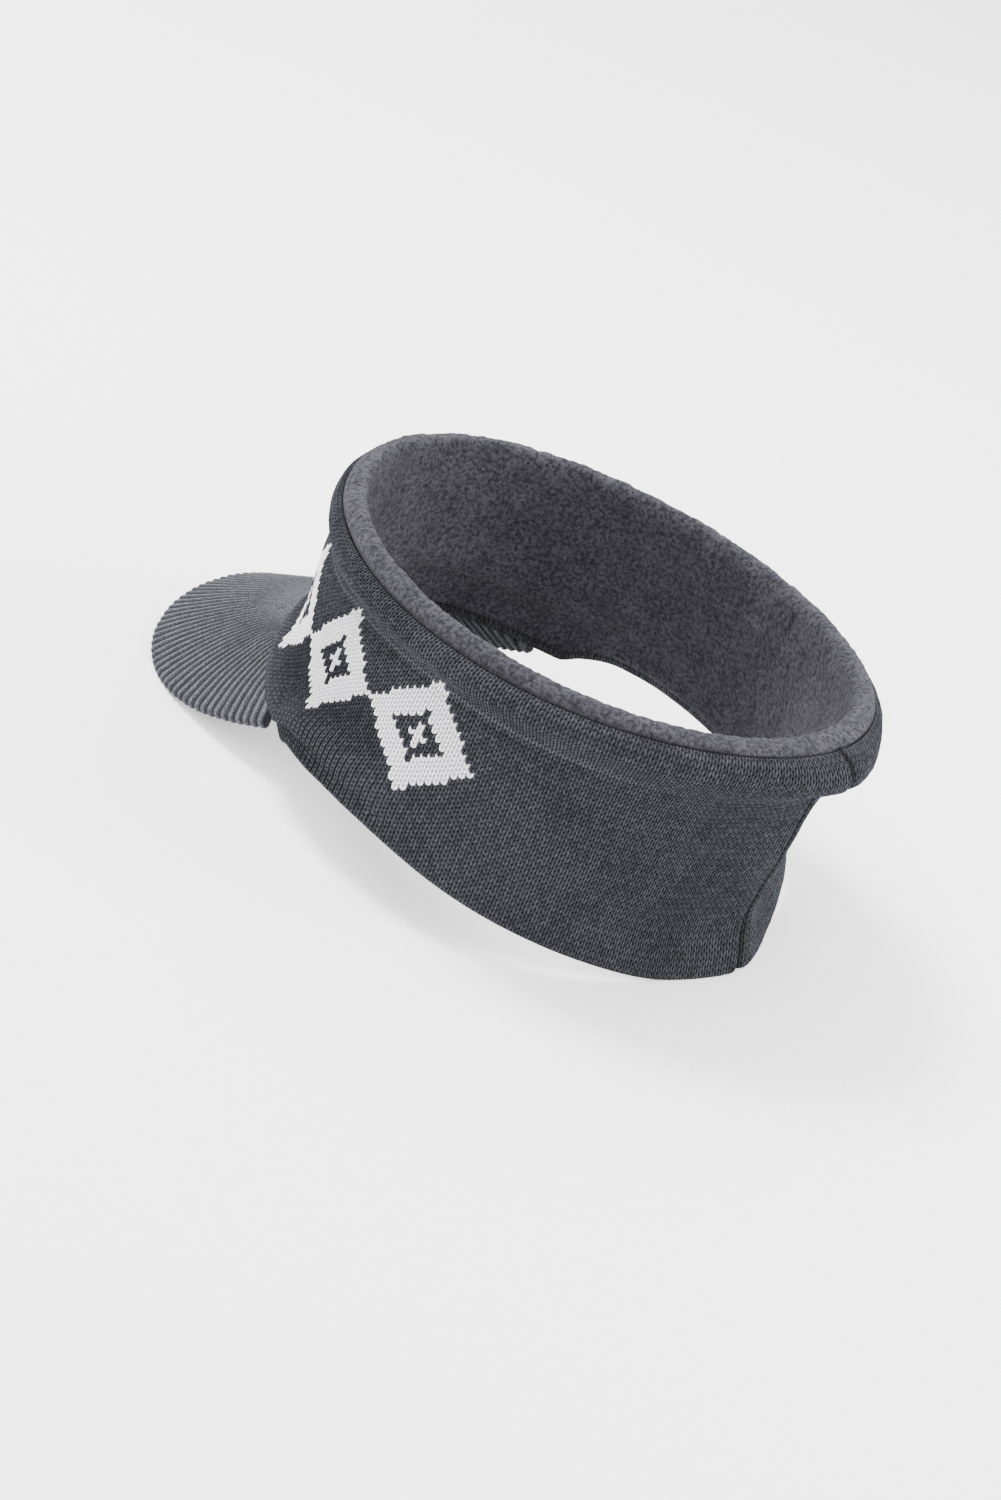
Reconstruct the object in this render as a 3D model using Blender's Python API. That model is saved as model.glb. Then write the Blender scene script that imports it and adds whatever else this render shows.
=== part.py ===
# A knit visor: a knitted headband with a fleece lining and a ribbed, knit-covered peak.
# Metres, Z up, the peak towards -Y and the wearer's left at +X. It rests by itself, on the
# edge of its peak and the back of its hem.

import math

import bmesh
import bpy
import numpy as np

# Headband: the outer face at its hem and at the stitched seam along its top
HEM_LENGTH = 0.2105
HEM_WIDTH = 0.183
HEM_BACK = 0.103  # from the upright axis to the back of the hem
HEM_SQUARENESS = 2.15  # 2 is an ellipse, more is squarer
SEAM_LENGTH = 0.2075
SEAM_WIDTH = 0.163
SEAM_BACK = 0.0915
FRONT_HEIGHT = 0.059  # of the seam over the level of the side hem
BACK_HEIGHT = 0.0915
SIDE_SAG = 0.005  # the seam hangs this much lower at the ears than a flat ring would
HEM_DIP = 0.0148  # the hem is this much lower at the peak's corners
NAPE_DIP = 0.0046  # and beside the back seam

# Walls
KNIT_WALL = 0.003
FLEECE_WALL = 0.0025
CLEARANCE = 0.0003  # between neighbouring pieces

# Forms of the band
ROLL_OUT = 0.0042  # the soft roll along the top stands out this much
BACK_ROLL_OUT = 0.0108
CREASE_IN = 0.0034
NAPE_IN = 0.0054  # the back seam curves in over the nape
DRAW_IN = 0.0090  # the wall draws in on both sides of the back seam
SWELL_OUT = 0.0006  # over the root of the peak
SWELL_SAG = 0.0040  # and hangs down onto it
VALLEY_IN = 0.0026  # above that swell
ROOT_TUCK = 0.0032  # the root of the peak sits this deep under the swell
BACK_DENT = 0.0055  # beside the back seam, on the wearer's right
SEAM_GROOVE = 0.0012
LIP_RISE = 0.0060  # the fleece lip over the seam
LIP_WIDTH = 0.0084

# Peak: a board rolled about a forward axis
PEAK_REACH = 0.0720  # along its slope, from the root's middle to the tip
PEAK_SQUARENESS = 2.6
PEAK_ROLL = 0.097  # radius of the roll
PEAK_DROOP = math.radians(35)
PEAK_THICKNESS = 0.0042
PEAK_SEAT = 0.0034  # middle of the board at its root, over the hem
PEAK_END_STEP = 0.3  # its ends stop this far short of the corners, in half ribs
RIBS = 74
RIB_HEIGHT = 0.0008
RIB_CENTRE = 0.004  # the ribs fan out from this far behind the middle of the root
SMOOTH_REACH = 0.034  # the ribs fade out nearer than this to that centre

# Rest
REST_FLAT = 0.0008  # cloth pressed flat where it touches down

# Angles go round from the front, through the wearer's left, in degrees
PEAK_CORNER = 52.0  # where the peak's outer edge meets the band
TUCK_START = 54.0
TUCK_END = 72.0
BAND_COLUMN = 6.0
MORE_COLUMNS = (57, 63, 177.6, 179.2, 180.8, 182.4, 297, 303)

# How low the hem lies at each angle, as a share of the dip
HEM_TABLE = {
    "angle": (0, 20, 38, 50, 57, 62.5, 68.5, 73.5, 78.5, 84, 92, 100, 180),
    "dip": (0.50, 0.62, 0.86, 0.97, 0.97, 0.68, 0.43, 0.31, 0.20, 0.12, 0.03, 0.0, 0.0),
}

# The outer face from the hem to the seam. "up" is a share of the band's height at that
# angle, and each other column is a share of the size that it is named after.
FACE_TABLE = {
    "up": (
        0.0, 0.045, 0.088, 0.104, 0.135, 0.18, 0.235, 0.30, 0.375, 0.46, 0.56,
        0.66, 0.74, 0.80, 0.845, 0.885, 0.92, 0.955, 0.985, 1.0,
    ),
    "roll": (
        0, 0, 0, 0, 0, 0, 0, 0, 0, 0, 0,
        0, 0, 0.04, 0.40, 0.78, 0.97, 0.92, 0.60, 0.08,
    ),
    "crease": (
        0, 0, 0, 0, 0, 0, 0, 0, 0.04, 0.12, 0.26,
        0.48, 0.74, 1.0, 0.62, 0.20, 0, 0, 0, 0,
    ),
    "nape": (
        0.0, 0.20, 0.45, 0.55, 0.74, 0.92, 1.0, 0.90, 0.72, 0.50, 0.36,
        0.28, 0.18, 0.08, 0, 0, 0, 0, 0, 0,
    ),
    "swell": (
        0.10, 0.18, 0.26, 0.62, 1.0, 1.0, 0.62, 0.20, 0, 0, 0,
        0, 0, 0, 0, 0, 0, 0, 0, 0,
    ),
    "sag": (
        0, 0, 0, 0.25, 0.86, 0.90, 0.60, 0.30, 0.10, 0, 0,
        0, 0, 0, 0, 0, 0, 0, 0, 0,
    ),
    "valley": (
        0, 0, 0, 0, 0, 0, 0.30, 0.85, 1.0, 0.75, 0.40,
        0.12, 0, 0, 0, 0, 0, 0, 0, 0,
    ),
    "tuck": (
        1.5, 1, 1, 0.55, 0, 0, 0, 0, 0, 0, 0,
        0, 0, 0, 0, 0, 0, 0, 0, 0,
    ),
    "draw": (
        0.50, 0.60, 0.72, 0.78, 0.88, 0.97, 1.0, 1.0, 1.0, 1.0, 0.96,
        0.78, 0.48, 0.20, 0.05, 0, 0, 0, 0, 0,
    ),
    "dent": (
        0.45, 0.50, 0.55, 0.60, 0.68, 0.80, 0.92, 1.0, 1.0, 1.0, 0.90,
        0.70, 0.40, 0.12, 0, 0, 0, 0, 0, 0,
    ),
}

# How much of each form there is at an angle, 1 for all of it
ROUND_TABLE = {
    "angle": (0, 30, 52, 66, 80, 95, 112, 130, 145, 160, 171, 180),
    "roll": (0.6, 0.6, 0.62, 0.72, 0.86, 1.0, 1.0, 1.0, 1.0, 1.0, 1.0, 1.0),
    "back_roll": (0, 0, 0, 0, 0, 0, 0, 0, 0.02, 0.20, 0.68, 0.95),
    "crease": (0.7, 0.75, 0.85, 1.0, 1.0, 0.95, 0.80, 0.50, 0.22, 0.05, 0, 0),
    "nape": (0, 0, 0, 0, 0, 0, 0, 0, 0, 0.30, 0.80, 1.0),
    "draw": (0, 0, 0, 0, 0, 0, 0.18, 0.60, 0.96, 1.0, 0.50, 0),
    "lip": (0.9, 0.95, 1.0, 1.0, 1.0, 0.95, 0.80, 0.60, 0.44, 0.34, 0.30, 0.30),
    "swell": (0.9, 1.0, 1.0, 0.92, 0.60, 0.20, 0, 0, 0, 0, 0, 0),
}

# Where the band's inner rows lie, and how far the lining's faces stand inside the seam
INNER_ROWS = (1.0, 0.96, 0.90, 0.82, 0.74, 0.60, 0.44, 0.30, 0.16, 0.07)
LINING_TABLE = {
    "up": (0.10, 0.30, 0.50, 0.70, 0.84, 0.93, 1.0),
    "in": (0.68, 0.76, 0.86, 0.97, 1.02, 1.02, 1.0),
}
LIP_TABLE = {
    "in": (0.99, 0.86, 0.62, 0.36, 0.14, 0.03),
    "rise": (0.30, 0.78, 1.0, 0.94, 0.66, 0.30),
}


def between(table, where, column, value):
    """A smooth curve through one column of a table, flat at its two ends."""
    at = np.asarray(table[where], float)
    height = np.asarray(table[column], float)
    slope = np.zeros(len(at))
    slope[1:-1] = (height[2:] - height[:-2]) / (at[2:] - at[:-2])
    level = (height[1:-1] - height[:-2]) * (height[2:] - height[1:-1]) <= 0
    slope[1:-1][level] = 0
    row = int(np.clip(np.searchsorted(at, value) - 1, 0, len(at) - 2))
    step = at[row + 1] - at[row]
    t = min(max((value - at[row]) / step, 0.0), 1.0)
    return (
        (2 * t**3 - 3 * t**2 + 1) * height[row]
        + (t**3 - 2 * t**2 + t) * step * slope[row]
        + (3 * t**2 - 2 * t**3) * height[row + 1]
        + (t**3 - t**2) * step * slope[row + 1]
    )


def from_front(angle):
    """The angle from the front, 0 to 180 degrees, the same on both sides."""
    turned = angle % 360
    return min(turned, 360 - turned)


def oval(length, width, back, squareness, angle):
    """A point of a rounded oval whose back is at y = back."""
    middle = back - length / 2
    turn = math.radians(angle)
    across = math.copysign(abs(math.sin(turn)) ** (2 / squareness), math.sin(turn))
    along = math.copysign(abs(math.cos(turn)) ** (2 / squareness), math.cos(turn))
    return np.array([width / 2 * across, middle - length / 2 * along])


def hem_height(angle):
    """Height of the hem's outer edge over the level of the side hem."""
    side = from_front(angle)
    nape = math.exp(-(((side - 165) / 26) ** 2))
    return -HEM_DIP * between(HEM_TABLE, "angle", "dip", side) - NAPE_DIP * nape


def seam_height(angle):
    turn = math.radians(angle)
    middle = (FRONT_HEIGHT + BACK_HEIGHT) / 2
    slope = (BACK_HEIGHT - FRONT_HEIGHT) / 2
    return middle - slope * math.cos(turn) - SIDE_SAG * math.sin(turn) ** 2


def base_point(angle, up):
    """The plain wall: straight lines from the hem's oval to the seam's."""
    low = oval(HEM_LENGTH, HEM_WIDTH, HEM_BACK, HEM_SQUARENESS, angle)
    high = oval(SEAM_LENGTH, SEAM_WIDTH, SEAM_BACK, 2, angle)
    top = seam_height(angle)
    height = hem_height(angle) * (1 - up) + top * up
    share = height / top
    flat = low * (1 - share) + high * share
    return np.array([flat[0], flat[1], height])


def outward(angle, up):
    """Level direction that points out of the wall."""
    ahead = base_point(angle + 1, up)
    behind = base_point(angle - 1, up)
    along = ahead - behind
    out = np.array([along[1], -along[0], 0.0])
    return out / np.linalg.norm(out)


def tucked(angle):
    """1 over the root of the peak, fading to 0 past its corners."""
    fade = (TUCK_END - from_front(angle)) / (TUCK_END - TUCK_START)
    fade = min(max(fade, 0.0), 1.0)
    return fade * fade * (3 - 2 * fade)


def relief(angle, up):
    """How far the outer face stands out of the plain wall."""
    side = from_front(angle)
    back = between(ROUND_TABLE, "angle", "back_roll", side)
    roll = ROLL_OUT * between(ROUND_TABLE, "angle", "roll", side)
    roll += (BACK_ROLL_OUT - ROLL_OUT) * back
    tuck = tucked(angle)
    dent = math.exp(-(((angle % 360 - 207) / 19) ** 2))
    groove = math.exp(-(((side - 180) / 0.9) ** 2)) * (1 if up < 0.97 else 0.6)
    swell = between(ROUND_TABLE, "angle", "swell", side)
    return (
        roll * between(FACE_TABLE, "up", "roll", up)
        - CREASE_IN
        * between(ROUND_TABLE, "angle", "crease", side)
        * between(FACE_TABLE, "up", "crease", up)
        - NAPE_IN
        * between(ROUND_TABLE, "angle", "nape", side)
        * between(FACE_TABLE, "up", "nape", up)
        - DRAW_IN
        * between(ROUND_TABLE, "angle", "draw", side)
        * between(FACE_TABLE, "up", "draw", up)
        + SWELL_OUT * swell * between(FACE_TABLE, "up", "swell", up)
        - VALLEY_IN * swell * between(FACE_TABLE, "up", "valley", up)
        - ROOT_TUCK * tuck * between(FACE_TABLE, "up", "tuck", up)
        - BACK_DENT * dent * between(FACE_TABLE, "up", "dent", up)
        - SEAM_GROOVE * groove
    )


def outer_point(angle, up, inset=0.0):
    point = base_point(angle, up) + outward(angle, up) * (relief(angle, up) - inset)
    point[2] -= SWELL_SAG * tucked(angle) * between(FACE_TABLE, "up", "sag", up)
    return point


def face_directions(angle, up):
    """Unit vectors out of the knit's outer face, and up along it."""
    climb = outer_point(angle, min(up + 0.01, 1.0)) - outer_point(angle, max(up - 0.01, 0.0))
    climb = climb / np.linalg.norm(climb)
    out = outward(angle, up)
    out = out - climb * (out @ climb)
    return out / np.linalg.norm(out), climb


def under_point(angle, up, depth):
    """A point straight under the outer face."""
    out, _ = face_directions(angle, up)
    return outer_point(angle, up) - out * depth


def band_section(angle):
    """One closed section of the knit wall, up its outer face and down its inner face."""
    outer = [outer_point(angle, up) for up in FACE_TABLE["up"][1:]]
    hem_out = outer_point(angle, 0.0, KNIT_WALL * 0.2)
    hem_mid = outer_point(angle, 0.0, KNIT_WALL * 0.55) - np.array([0, 0, KNIT_WALL * 0.12])
    inner = [under_point(angle, up, KNIT_WALL) for up in INNER_ROWS]
    return [hem_out] + outer + inner + [hem_mid]


def inside(angle, up, depth):
    """A point on the inner side, a depth inside the straight line from hem to seam."""
    return base_point(angle, up) - outward(angle, up) * depth


def lining_section(angle):
    """One closed section of the fleece: its hidden face, the lip, and the face on the head."""
    gap = KNIT_WALL + CLEARANCE
    hidden = [under_point(angle, up, gap) for up in INNER_ROWS[:0:-1]]
    _, climb = face_directions(angle, 1.0)
    past = climb * CLEARANCE * 1.5
    tip = [under_point(angle, 1.0, gap) + past, outer_point(angle, 1.0) + past]
    seam = base_point(angle, 1.0)
    out = outward(angle, 1.0)
    high = LIP_RISE * between(ROUND_TABLE, "angle", "lip", from_front(angle))
    lip = []
    for inward, rise in zip(LIP_TABLE["in"], LIP_TABLE["rise"]):
        point = seam - out * LIP_WIDTH * inward
        point[2] += high * rise
        lip.append(point)
    thick = gap + FLEECE_WALL
    worn = []
    for up, share in zip(LINING_TABLE["up"], LINING_TABLE["in"]):
        face = outer_point(angle, up, thick)
        flat = inside(angle, up, LIP_WIDTH * share)
        way = outward(angle, up)
        worn.append(face if (face - flat) @ way < 0 else flat)
    foot = outer_point(angle, INNER_ROWS[-1], thick)
    return [foot] + worn + lip + tip[::-1] + hidden[::-1]


def columns():
    """Angles of the sections: even steps, closer at the peak's corners and the back seam."""
    even = [float(a) for a in np.arange(0, 360, BAND_COLUMN)]
    spread = [a for a in even if abs(a - 180) > 0.5]
    return sorted(spread + list(MORE_COLUMNS))


def wrap(name, sections, ends_meet):
    """A mesh grid laid over a row of closed sections, welded where it meets itself."""
    rounds = list(sections) + ([sections[0]] if ends_meet else [])
    count = len(rounds)
    height = len(rounds[0]) + 1
    mesh = bpy.data.meshes.new(name)
    shape = bmesh.new()
    bmesh.ops.create_grid(shape, x_segments=count - 1, y_segments=height - 1, size=1)
    for vertex in shape.verts:
        column = round((vertex.co.x + 1) / 2 * (count - 1))
        row = round((vertex.co.y + 1) / 2 * (height - 1))
        vertex.co = rounds[column][row % (height - 1)]
    bmesh.ops.triangulate(shape, faces=shape.faces, quad_method="FIXED")
    bmesh.ops.remove_doubles(shape, verts=shape.verts, dist=1e-6)
    if not ends_meet:
        bmesh.ops.holes_fill(shape, edges=shape.edges, sides=0)
    bmesh.ops.recalc_face_normals(shape, faces=shape.faces)
    shape.to_mesh(mesh)
    shape.free()
    mesh.shade_smooth()
    mesh.set_sharp_from_angle(angle=math.radians(50))
    piece = bpy.data.objects.new(name, mesh)
    bpy.context.collection.objects.link(piece)
    return piece


def material(name, colour, roughness):
    made = bpy.data.materials.new(name)
    made.use_nodes = True
    shader = made.node_tree.nodes["Principled BSDF"]
    shader.inputs["Base Color"].default_value = (*colour, 1.0)
    shader.inputs["Roughness"].default_value = roughness
    shader.inputs["Metallic"].default_value = 0.0
    return made


def root_angle(share):
    """Angle on the band of a column's root, where share is 0 at the middle and 1 at a corner."""
    size = abs(share)
    return math.copysign(last_root_angle() * (0.5 * size + 0.5 * size**8), share)


def root_point(angle):
    """Middle of the board where it meets the band."""
    height = seam_height(angle) - hem_height(angle)
    return outer_point(angle, PEAK_SEAT / height, -CLEARANCE)


def peak_axes():
    """The peak's frame: the middle of its root, forward down the slope, and up from it."""
    origin = root_point(0.0)
    forward = np.array([0.0, -math.cos(PEAK_DROOP), -math.sin(PEAK_DROOP)])
    normal = np.array([0.0, -math.sin(PEAK_DROOP), math.cos(PEAK_DROOP)])
    return origin, forward, normal


def on_sheet(round_way, forward_way):
    """A point of the rolled sheet, and the direction that faces up from it."""
    origin, forward, normal = peak_axes()
    turn = round_way / PEAK_ROLL
    side = np.array([1.0, 0.0, 0.0])
    point = (
        origin
        + side * PEAK_ROLL * math.sin(turn)
        - normal * PEAK_ROLL * (1 - math.cos(turn))
        + forward * forward_way
    )
    return point, side * math.sin(turn) + normal * math.cos(turn)


def to_sheet(point):
    """Flattened place of a point near the sheet, and its height over the sheet."""
    origin, forward, normal = peak_axes()
    turn = math.asin(max(-1.0, min(1.0, point[0] / PEAK_ROLL)))
    drop = PEAK_ROLL * (1 - math.cos(turn))
    offset = point - origin
    reach = (drop * math.sin(PEAK_DROOP) - offset[1]) / math.cos(PEAK_DROOP)
    flat, _ = on_sheet(PEAK_ROLL * turn, reach)
    return PEAK_ROLL * turn, reach, point[2] - flat[2]


def last_root_angle():
    """The angle where the root ends, half a thickness short of the peak's corner."""
    wanted = to_sheet(root_point(PEAK_CORNER))[0] - PEAK_THICKNESS / 2
    low = PEAK_CORNER / 2
    high = PEAK_CORNER
    for _ in range(20):
        middle = (low + high) / 2
        if to_sheet(root_point(middle))[0] < wanted:
            low = middle
        else:
            high = middle
    return (low + high) / 2


def peak_outline(inset, shares):
    """Points of the flattened outer edge, where -1 and 1 are its corners."""
    half, corner, _ = to_sheet(root_point(last_root_angle()))
    reach = PEAK_REACH - inset - corner
    power = 2 / PEAK_SQUARENESS
    fine = np.linspace(-math.pi / 2, math.pi / 2, 2001)
    across = half * np.sign(np.sin(fine)) * np.abs(np.sin(fine)) ** power
    along = corner + reach * np.abs(np.cos(fine)) ** power
    walked = np.concatenate([[0], np.cumsum(np.hypot(np.diff(across), np.diff(along)))])
    stops = walked[-1] * (np.array(shares) + 1) / 2
    return np.interp(stops, walked, across), np.interp(stops, walked, along)


def peak_sections():
    """Closed sections across the board, one on each rib and one in each groove."""
    half = PEAK_THICKNESS / 2
    steps = [PEAK_END_STEP] + list(range(1, 2 * RIBS)) + [2 * RIBS - PEAK_END_STEP]
    shares = [step / RIBS - 1 for step in steps]
    across, along = peak_outline(half, shares)
    top_shares = (0.0, 0.10, 0.26, 0.46, 0.66, 0.86)
    edge_turns = (90, 45, 0, -45, -90)
    under_shares = (0.66, 0.30, 0.0)
    sections = []
    for index, share in enumerate(shares):
        rib = RIB_HEIGHT / 2 * (1 if index % 2 else -1)
        angle = root_angle(share)
        start = root_point(angle)
        _, climb = face_directions(angle, 0.04)
        s0, g0, lift = to_sheet(start)
        s1, g1 = across[index], along[index]
        centre = np.array([0.0, -RIB_CENTRE])
        edge = np.array([s1, g1])
        root = np.array([s0, g0])
        spoke = (edge - centre) / np.linalg.norm(edge - centre)
        length = np.linalg.norm(edge - root)
        turn_in = edge - spoke * length * 0.55
        turn_out = root * 0.75 + edge * 0.25

        def place(t, sign, rise, out=0.0):
            flat = (
                (1 - t) ** 3 * root
                + 3 * (1 - t) ** 2 * t * turn_out
                + 3 * (1 - t) * t**2 * turn_in
                + t**3 * edge
            )
            away = np.linalg.norm(flat - centre)
            mask = min(max((away - SMOOTH_REACH * 0.6) / (SMOOTH_REACH * 0.6), 0.0), 1.0)
            mask *= min(t / 0.12, 1.0)
            flat = flat + spoke * (out + (rib * mask if out else 0.0))
            point, up = on_sheet(flat[0], flat[1])
            point = point + np.array([0.0, 0.0, lift * (1 - t) ** 2])
            if t == 0.0:
                return start + climb * rise
            return point + up * (rise + sign * rib * mask)

        section = [place(t, 1, half) for t in top_shares]
        for degrees in edge_turns:
            turn = math.radians(degrees)
            flatness = math.sin(turn)
            section.append(place(1.0, flatness, half * flatness, half * math.cos(turn)))
        section += [place(t, -1, -half) for t in under_shares]
        sections.append(section)
    return sections


def tilt(points, turn):
    """Turns points about the X axis, which lifts the front for a positive turn."""
    cosine = math.cos(turn)
    sine = math.sin(turn)
    turned = points.copy()
    turned[:, 1] = points[:, 1] * cosine + points[:, 2] * sine
    turned[:, 2] = points[:, 2] * cosine - points[:, 1] * sine
    return turned


def rest_turn(points):
    """The turn at which the peak's edge and the back of the hem touch the floor together."""
    low = 0.0
    high = math.radians(40)
    for _ in range(40):
        middle = (low + high) / 2
        turned = tilt(points, middle)
        front = turned[turned[:, 1] < 0, 2].min()
        back = turned[turned[:, 1] >= 0, 2].min()
        if front < back:
            low = middle
        else:
            high = middle
    return (low + high) / 2


def set_down(pieces):
    """Lays the pieces on the floor, centred over the origin, and presses the cloth flat there."""
    clouds = [np.array([v.co[:] for v in piece.data.vertices]) for piece in pieces]
    turn = rest_turn(np.concatenate(clouds))
    clouds = [tilt(cloud, turn) for cloud in clouds]
    everything = np.concatenate(clouds)
    middle = (everything.min(axis=0) + everything.max(axis=0)) / 2
    shift = np.array([0.0, -middle[1], -everything[:, 2].min() - REST_FLAT])
    for piece, cloud in zip(pieces, clouds):
        laid = cloud + shift
        laid[:, 2] = np.maximum(laid[:, 2], 0.0)
        for vertex, place in zip(piece.data.vertices, laid):
            vertex.co = place
        piece.data.update()


for old in list(bpy.data.objects):
    bpy.data.objects.remove(old)

band = wrap("knit_band", [band_section(angle) for angle in columns()], True)
lining = wrap("fleece_lining", [lining_section(angle) for angle in columns()], True)
peak = wrap("peak", peak_sections(), False)
set_down([band, lining, peak])

band.data.materials.append(material("slate_knit", (0.075, 0.085, 0.092), 0.9))
lining.data.materials.append(material("grey_fleece", (0.11, 0.105, 0.118), 0.95))
peak.data.materials.append(material("slate_rib_knit", (0.085, 0.095, 0.10), 0.9))
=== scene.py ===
import math

import bmesh
import bpy
import numpy as np
from mathutils import Matrix, Vector, noise


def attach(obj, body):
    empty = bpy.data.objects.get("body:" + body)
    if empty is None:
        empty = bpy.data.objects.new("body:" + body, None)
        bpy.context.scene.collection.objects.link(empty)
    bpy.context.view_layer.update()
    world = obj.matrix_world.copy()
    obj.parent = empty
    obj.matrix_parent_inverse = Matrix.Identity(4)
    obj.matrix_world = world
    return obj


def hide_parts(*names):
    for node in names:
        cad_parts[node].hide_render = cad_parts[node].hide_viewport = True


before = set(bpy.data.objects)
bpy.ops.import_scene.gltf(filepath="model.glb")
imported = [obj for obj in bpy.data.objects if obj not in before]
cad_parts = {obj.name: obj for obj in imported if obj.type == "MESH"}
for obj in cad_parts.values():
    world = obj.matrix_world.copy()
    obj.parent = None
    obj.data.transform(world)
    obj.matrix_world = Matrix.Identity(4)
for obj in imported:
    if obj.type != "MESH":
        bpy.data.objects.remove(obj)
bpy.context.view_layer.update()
print("frame loaded:", sorted(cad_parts))

# how the visor is tipped and moved from the band's own frame to the floor
rest = {"turn": 0.192579, "shift": (0.0, 0.0263956, 0.0226697), "lowest": 0.00005}

# the band's outer face, from its hem to the stitched seam along the top
band = {
    "hemLength": 0.2105, "hemWidth": 0.183, "hemBack": 0.103, "hemSquareness": 2.15,
    "seamLength": 0.2075, "seamWidth": 0.163, "seamBack": 0.0915,
    "frontHeight": 0.059, "backHeight": 0.0915, "sideSag": 0.005,
    "hemDip": 0.0148, "napeDip": 0.0046, "napeAt": 165, "napeSpread": 26,
    "wall": 0.003, "clearance": 0.0003,
    "roll": 0.0042, "backRoll": 0.0108, "crease": 0.0034, "nape": 0.0054, "draw": 0.0090,
    "swell": 0.0019, "sag": 0.0040, "valley": 0.0034,
    "tuck": 0.0032, "tuckStart": 54.0, "tuckEnd": 72.0,    # where the peak's root is sewn in
    "dent": 0.0055, "dentAt": 207, "dentSpread": 19,
    "groove": 0.0012, "grooveSpread": 0.9,                 # the back seam, shallower at its top
    "grooveTop": 0.97, "grooveTopShare": 0.6,
    "wales": 260, "courses": 43,     # stitches round, an even number, and rows of them up the face
    "perWale": 4, "perCourse": 2, "slant": 0.55, "measureSteps": 321,
    "stitchRelief": 0.00036, "stitchMiddle": 0.4,
    "lumps": 0.00026, "lumpLayers": ((0.011, 3.1, 1.0), (0.0045, 8.3, 0.5)),
    "creaseFold": 0.00060, "creaseFoldUp": 0.795, "creaseFoldSpread": 0.010,
    "seamFold": 0.00025, "seamFoldAt": 178.0, "seamFoldSpread": 0.8,
    "ribGap": 0.00045, "ribTurns": (72, 104), "ribUps": (0.16, 0.34),
    "hemFade": (-0.02, 0.03), "topFade": (0.97, 1.0), "tuckFade": (0.13, 0.17),
    "joinShade": 0.45, "joinSpread": 0.005, "puffTop": 0.8,
    "hemRound": ((0.2, 0.0), (0.55, 0.00036)),             # share of the wall, and drop
    "innerRows": (1.0, 0.90, 0.80, 0.66, 0.50, 0.32, 0.18, 0.07),    # where band and lining meet
    "innerCourses": (1.5, 6, 10, 16, 23, 31, 37, 42, 43, 44),        # stitches down the inside
    "flat": (0.580, 0.090),          # the band's cut, round and up, before it is stretched on
}

hemDips = {
    "angle": (0, 20, 38, 50, 57, 62.5, 68.5, 73.5, 78.5, 84, 92, 100, 180),
    "dip": (0.50, 0.62, 0.86, 0.97, 0.97, 0.68, 0.43, 0.31, 0.20, 0.12, 0.03, 0.0, 0.0),
}

# forms of the face by its share of the height, as shares of the sizes above
faceForms = {
    "up": (0.0, 0.045, 0.088, 0.104, 0.135, 0.18, 0.235, 0.30, 0.375, 0.46, 0.56,
           0.66, 0.74, 0.80, 0.845, 0.885, 0.92, 0.955, 0.985, 1.0),
    "roll": (0, 0, 0, 0, 0, 0, 0, 0, 0, 0, 0, 0, 0, 0.04, 0.40, 0.78, 0.97, 0.92, 0.60, 0.08),
    "crease": (0, 0, 0, 0, 0, 0, 0, 0, 0.04, 0.12, 0.26, 0.48, 0.74, 1.0, 0.62, 0.20, 0, 0, 0, 0),
    "nape": (0.0, 0.20, 0.45, 0.55, 0.74, 0.92, 1.0, 0.90, 0.72, 0.50, 0.36,
             0.28, 0.18, 0.08, 0, 0, 0, 0, 0, 0),
    "swell": (0.10, 0.18, 0.26, 0.62, 1.0, 1.0, 0.62, 0.20, 0, 0, 0, 0, 0, 0, 0, 0, 0, 0, 0, 0),
    "sag": (0, 0, 0, 0.25, 0.86, 0.90, 0.60, 0.30, 0.10, 0, 0, 0, 0, 0, 0, 0, 0, 0, 0, 0),
    "valley": (0, 0, 0, 0, 0, 0, 0.30, 0.85, 1.0, 0.75, 0.40, 0.12, 0, 0, 0, 0, 0, 0, 0, 0),
    "tuck": (1.5, 1, 1, 0.55, 0, 0, 0, 0, 0, 0, 0, 0, 0, 0, 0, 0, 0, 0, 0, 0),
    "draw": (0.50, 0.60, 0.72, 0.78, 0.88, 0.97, 1.0, 1.0, 1.0, 1.0, 0.96,
             0.78, 0.48, 0.20, 0.05, 0, 0, 0, 0, 0),
    "dent": (0.45, 0.50, 0.55, 0.60, 0.68, 0.80, 0.92, 1.0, 1.0, 1.0, 0.90,
             0.70, 0.40, 0.12, 0, 0, 0, 0, 0, 0),
}

# how much of each form there is round the head, from the front (0) to the back (180)
roundForms = {
    "angle": (0, 30, 52, 66, 80, 95, 112, 130, 145, 160, 171, 180),
    "roll": (0.6, 0.6, 0.62, 0.72, 0.86, 1.0, 1.0, 1.0, 1.0, 1.0, 1.0, 1.0),
    "backRoll": (0, 0, 0, 0, 0, 0, 0, 0, 0.02, 0.20, 0.68, 0.95),
    "crease": (0.7, 0.75, 0.85, 1.0, 1.0, 0.95, 0.80, 0.50, 0.22, 0.05, 0, 0),
    "nape": (0, 0, 0, 0, 0, 0, 0, 0, 0, 0.30, 0.80, 1.0),
    "draw": (0, 0, 0, 0, 0, 0, 0.18, 0.60, 0.96, 1.0, 0.50, 0),
    "lip": (0.9, 0.95, 1.0, 1.0, 1.0, 0.95, 0.80, 0.60, 0.44, 0.34, 0.30, 0.30),
    "swell": (0.9, 1.0, 1.0, 0.92, 0.60, 0.20, 0, 0, 0, 0, 0, 0),
}


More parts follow.
